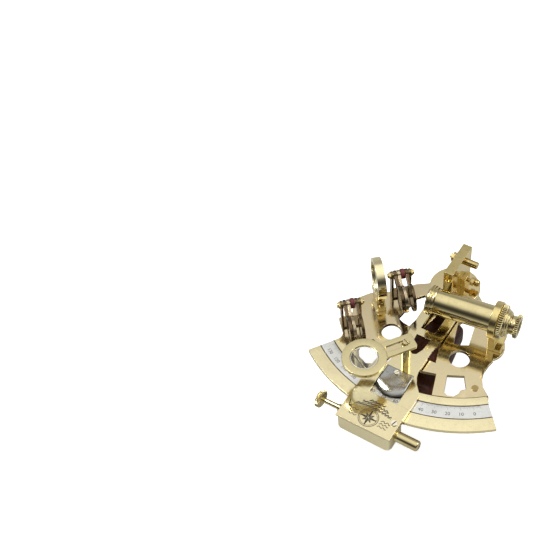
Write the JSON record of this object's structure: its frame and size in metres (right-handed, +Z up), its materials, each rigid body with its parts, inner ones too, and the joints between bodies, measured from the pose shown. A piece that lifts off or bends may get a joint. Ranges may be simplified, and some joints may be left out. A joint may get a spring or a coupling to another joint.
{
  "type": "nautical sextant",
  "caption": "Small brass sextant lying on three feet: open frame with silvered arc, swinging index arm with magnifier and tangent box, telescope, two mirrors and hinged shades.",
  "frame": {"origin": "the index axis where it meets the surface that the sextant rests on, at the sole of the centre foot", "axes": "+Z up along the index axis, -Y from the axis to the middle of the arc, +X towards the zero end of the arc"},
  "size_m": [0.1006, 0.1082, 0.055],
  "materials": {
    "brass": "polished and lacquered brass",
    "pale_brass": "mirror-polished pale brass",
    "dark_brass": "darkened brass",
    "silver": "brushed German silver",
    "chrome": "polished chrome",
    "steel": "turned steel",
    "bronze": "turned bearing bronze",
    "mahogany": "oiled dark mahogany",
    "fibre": "dark red fibre",
    "lens": "clear optical glass",
    "mirror": "silvered glass",
    "red_glass": "dark red glass",
    "green_glass": "green glass",
    "smoke_glass": "smoke grey glass"
  },
  "bodies": {
    "frame": {"frame": "brass", "arc_scale": "silver", "axle_bush": "bronze", "centre_foot": "brass", "front_feet": "brass", "frame_screws": "dark_brass", "handle": "mahogany", "handle_brackets": "brass", "handle_screws": "brass", "telescope_bracket": "brass", "telescope_tube": "brass", "objective_cell": "brass", "objective_lens": "lens", "lock_ring": "brass", "eyepiece_collar": "brass", "horizon_base": "brass", "horizon_ring": "pale_brass", "horizon_glass": "mirror", "horizon_screws": "dark_brass", "shade_brackets": "brass", "shade_pins": "brass", "shade_spacers": "fibre"},
    "eyepiece": {"draw_tube": "brass", "eyepiece_cap": "brass", "eye_lens": "lens"},
    "index_arm": {"index_arm": "pale_brass", "axle": "steel", "axle_nut": "brass", "mirror_table": "brass", "index_mirror_frame": "pale_brass", "index_mirror_glass": "mirror", "mirror_bracket": "brass", "mirror_bolts": "brass", "vernier": "silver", "reflector": "chrome", "arm_screws": "brass", "magnifier_post": "brass", "tangent_box": "pale_brass", "box_cover": "pale_brass", "spring_barrel": "brass", "return_spring": "steel"},
    "magnifier": {"magnifier_arm": "pale_brass", "magnifier_lens": "lens", "magnifier_screw": "brass"},
    "tangent_screw": {"tangent_screw": "brass", "tangent_knob": "brass"},
    "clamp_block": {"clamp_block": "brass"},
    "clamp_screw": {"clamp_screw": "brass"},
    "index_shade_1": {"index_shade_1": "dark_brass", "index_shade_glass_1": "red_glass"},
    "index_shade_2": {"index_shade_2": "dark_brass", "index_shade_glass_2": "green_glass"},
    "index_shade_3": {"index_shade_3": "dark_brass", "index_shade_glass_3": "smoke_glass"},
    "horizon_shade_1": {"horizon_shade_1": "dark_brass", "horizon_shade_glass_1": "red_glass"},
    "horizon_shade_2": {"horizon_shade_2": "dark_brass", "horizon_shade_glass_2": "green_glass"},
    "horizon_shade_3": {"horizon_shade_3": "dark_brass", "horizon_shade_glass_3": "smoke_glass"}
  },
  "joints": [
    {"name": "index_arm_swing", "type": "hinge", "parent": "frame", "child": "index_arm", "pos_m": [0, 0, 0.028], "axis": [0, 0, 1], "range_deg": [-28, 35]},
    {"name": "eyepiece_draw", "type": "slide", "parent": "frame", "child": "eyepiece", "axis": [0.9973, 0.0732, 0], "range_m": [0, 0.008]},
    {"name": "magnifier_swing", "type": "hinge", "parent": "index_arm", "child": "magnifier", "pos_m": [-0.00245, -0.05194, 0.0465], "axis": [0, 0, 1], "range_deg": [-40, 72]},
    {"name": "tangent_screw_turn", "type": "hinge", "parent": "index_arm", "child": "tangent_screw", "pos_m": [-0.00415, -0.0879, 0.0264], "axis": [0.9989, -0.0471, 0], "range_deg": [-720, 720]},
    {"name": "clamp_block_travel", "type": "slide", "parent": "index_arm", "child": "clamp_block", "axis": [0.9989, -0.0471, 0], "range_m": [-0.0016, 0.0016]},
    {"name": "clamp_screw_turn", "type": "hinge", "parent": "clamp_block", "child": "clamp_screw", "pos_m": [-0.00367, -0.07791, 0.02], "axis": [0, 0, 1], "range_deg": [0, 270]},
    {"name": "index_shade_1_flip", "type": "hinge", "parent": "frame", "child": "index_shade_1", "pos_m": [-0.0255, -0.0106, 0.0425], "axis": [-0.7771, -0.6293, 0], "range_deg": [0, 112]},
    {"name": "index_shade_2_flip", "type": "hinge", "parent": "frame", "child": "index_shade_2", "pos_m": [-0.0255, -0.0106, 0.0425], "axis": [-0.7771, -0.6293, 0], "range_deg": [0, 112]},
    {"name": "index_shade_3_flip", "type": "hinge", "parent": "frame", "child": "index_shade_3", "pos_m": [-0.0255, -0.0106, 0.0425], "axis": [-0.7771, -0.6293, 0], "range_deg": [0, 112]},
    {"name": "horizon_shade_1_flip", "type": "hinge", "parent": "frame", "child": "horizon_shade_1", "pos_m": [-0.0394, -0.0391, 0.0425], "axis": [-0.7771, -0.6293, 0], "range_deg": [0, 112]},
    {"name": "horizon_shade_2_flip", "type": "hinge", "parent": "frame", "child": "horizon_shade_2", "pos_m": [-0.0394, -0.0391, 0.0425], "axis": [-0.7771, -0.6293, 0], "range_deg": [0, 112]},
    {"name": "horizon_shade_3_flip", "type": "hinge", "parent": "frame", "child": "horizon_shade_3", "pos_m": [-0.0394, -0.0391, 0.0425], "axis": [-0.7771, -0.6293, 0], "range_deg": [0, 112]}
  ],
  "couplings": [
    {"joint": "tangent_screw_turn", "follows": "clamp_block_travel", "rad_per_m": 7854}
  ]
}
